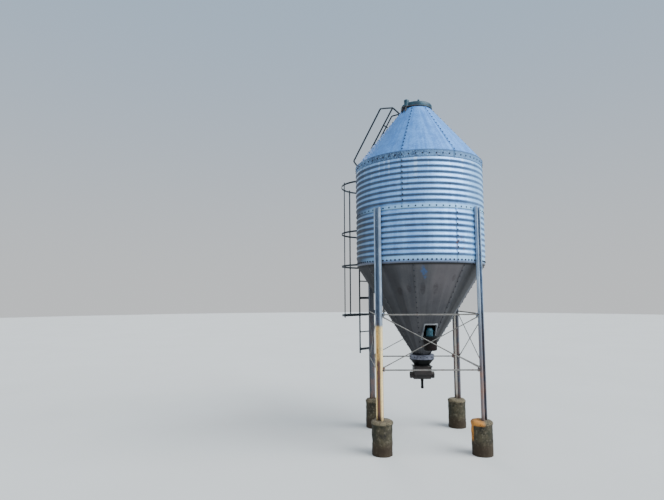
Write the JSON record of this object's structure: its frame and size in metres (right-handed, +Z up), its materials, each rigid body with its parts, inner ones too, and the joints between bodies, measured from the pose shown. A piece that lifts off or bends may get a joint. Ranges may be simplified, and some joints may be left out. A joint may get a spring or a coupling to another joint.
{
  "type": "feed silo",
  "caption": "Round bolted steel feed silo with corrugated wall, cone roof with hinged fill lid, hopper with auger boot, braced legs on concrete piers and a caged ladder",
  "frame": {"origin": "centre of the bounding box on the level ground under the piers; the silo's own axis stands at x = +0.1194 m, y = -0.1194 m, because the ladder cage reaches out at the back left", "axes": "+Z up, -Y to the front that the picture shows, +X to the right; metres"},
  "size_m": [2.3808, 2.3808, 5.8494],
  "materials": {
    "wall_steel": "galvanised corrugated sheet, weathered",
    "roof_steel": "galvanised sheet, dull with faint run marks",
    "hopper_steel": "galvanised sheet, brown-grey and streaked",
    "leg_steel": "galvanised, rusted in the web near the foot",
    "brace_steel": "galvanised, light grey",
    "dark_steel": "dark weathered steel",
    "band_steel": "galvanised, light grey",
    "lid_paint": "faded grey-green paint with rust at the edge",
    "boot_paint": "dark paint, dusty and rusting",
    "window_paint": "off-white paint, stained",
    "concrete": "rough cast concrete with moss stains"
  },
  "bodies": {
    "silo": {"pier_front_left": "concrete", "leg_front_left": "leg_steel", "pier_front_right": "concrete", "leg_front_right": "leg_steel", "pier_back_right": "concrete", "leg_back_right": "leg_steel", "pier_back_left": "concrete", "leg_back_left": "leg_steel", "tie_upper_front": "brace_steel", "tie_lower_front": "brace_steel", "cross_rod_front_a": "brace_steel", "cross_rod_front_b": "brace_steel", "tie_upper_right": "brace_steel", "tie_lower_right": "brace_steel", "cross_rod_right_a": "brace_steel", "cross_rod_right_b": "brace_steel", "tie_upper_back": "brace_steel", "tie_lower_back": "brace_steel", "cross_rod_back_a": "brace_steel", "cross_rod_back_b": "brace_steel", "tie_upper_left": "brace_steel", "tie_lower_left": "brace_steel", "cross_rod_left_a": "brace_steel", "cross_rod_left_b": "brace_steel", "wall_lower_sheet_a": "wall_steel", "wall_lower_sheet_b": "wall_steel", "wall_upper_sheet_a": "wall_steel", "wall_upper_sheet_b": "wall_steel", "roof_panel_1": "roof_steel", "hopper_panel_1": "hopper_steel", "roof_panel_2": "roof_steel", "hopper_panel_2": "hopper_steel", "roof_panel_3": "roof_steel", "hopper_panel_3": "hopper_steel", "roof_panel_4": "roof_steel", "hopper_panel_4": "hopper_steel", "roof_panel_5": "roof_steel", "hopper_panel_5": "hopper_steel", "roof_panel_6": "roof_steel", "hopper_panel_6": "hopper_steel", "roof_panel_7": "roof_steel", "hopper_panel_7": "hopper_steel", "roof_panel_8": "roof_steel", "hopper_panel_8": "hopper_steel", "window_frame": "window_paint", "outlet_pot": "boot_paint", "outlet_cap": "lid_paint", "fill_collar": "wall_steel", "lid_hinge": "dark_steel", "boot_band": "band_steel", "boot_funnel": "boot_paint", "auger_boot": "boot_paint", "cleanout_handle": "dark_steel", "wall_ladder": "dark_steel", "ladder_cage": "dark_steel", "roof_rails": "dark_steel"},
    "lid": {"fill_lid": "lid_paint"}
  },
  "joints": [
    {"name": "lid_hinge_turn", "type": "hinge", "parent": "silo", "child": "lid", "pos_m": [-0.1184, -0.33352, 5.538], "axis": [0.6691, -0.7431, 0], "range_deg": [0, 100]}
  ]
}
